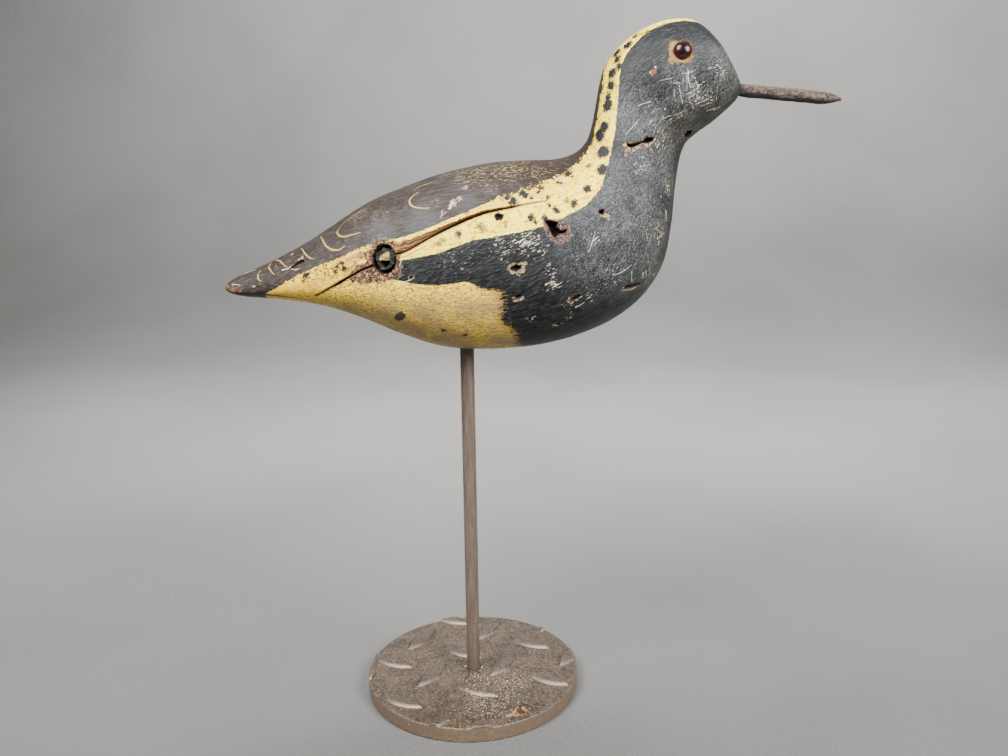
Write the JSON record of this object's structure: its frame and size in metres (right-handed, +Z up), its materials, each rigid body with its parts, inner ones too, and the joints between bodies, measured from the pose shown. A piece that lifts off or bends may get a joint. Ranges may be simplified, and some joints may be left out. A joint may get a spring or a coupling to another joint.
{
  "type": "shorebird decoy on stand",
  "caption": "Carved wooden shorebird decoy with glass eyes and an iron spike bill, held by a steel rod on a round tread plate foot.",
  "frame": {"origin": "centre of the foot's flat underside, where the stand rests on a shelf or table", "axes": "+Z up along the rod, +X towards the bill, +Y to the bird's left"},
  "size_m": [0.2678, 0.1016, 0.3067],
  "materials": {
    "painted_wood": "old worn paint in black, brown, cream and ochre, with chips, scratches and a split down to bare wood",
    "rusty_iron": "matt red-brown rust, pitted",
    "eye_glass": "polished dark red-brown glass",
    "painted_rod": "thin grey-brown paint, satin",
    "painted_plate": "thin grey-brown paint, satin, rubbed bright along the raised edges, one rust spot"
  },
  "bodies": {
    "root": {"body": "painted_wood", "bill": "rusty_iron", "eye_right": "eye_glass", "eye_left": "eye_glass", "rod": "painted_rod", "foot": "painted_plate"}
  },
  "joints": []
}
